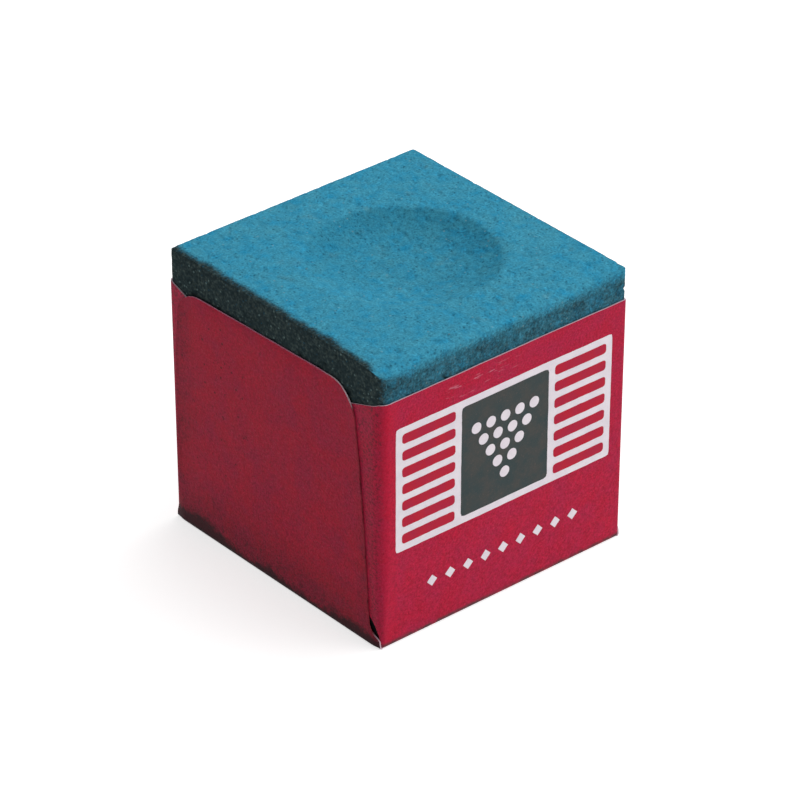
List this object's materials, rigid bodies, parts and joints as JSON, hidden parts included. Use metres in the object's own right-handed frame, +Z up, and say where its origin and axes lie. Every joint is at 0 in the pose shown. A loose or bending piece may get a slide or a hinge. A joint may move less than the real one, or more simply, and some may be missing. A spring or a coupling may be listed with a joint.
{
  "type": "cue chalk cube",
  "caption": "Cube of pressed billiards cue chalk with a shallow worn dish on top, in a glued red paper wrapper with a plain printed label on one side.",
  "frame": {"origin": "centre of the underside of the wrapped cube", "axes": "+Z up out of the dish, -Y out of the printed front panel, +X to the right seen from the front"},
  "size_m": [0.0222, 0.0222, 0.0218],
  "materials": {
    "chalk_block": "matte",
    "wrapper": "satin",
    "adhesive": "matte",
    "white_ink": "satin",
    "red_ink": "satin",
    "dark_ink": "satin"
  },
  "bodies": {
    "root": {"chalk_block": "chalk_block", "base_panel": "wrapper", "front_panel": "wrapper", "back_panel": "wrapper", "front_left_tab": "wrapper", "front_right_tab": "wrapper", "back_left_tab": "wrapper", "back_right_tab": "wrapper", "left_flap": "wrapper", "right_flap": "wrapper", "base_glue": "adhesive", "front_glue": "adhesive", "back_glue": "adhesive", "left_glue": "adhesive", "right_glue": "adhesive", "label_ground": "white_ink", "label_stripes": "red_ink", "label_block": "dark_ink", "label_dots": "white_ink", "label_marks": "white_ink"}
  },
  "joints": []
}
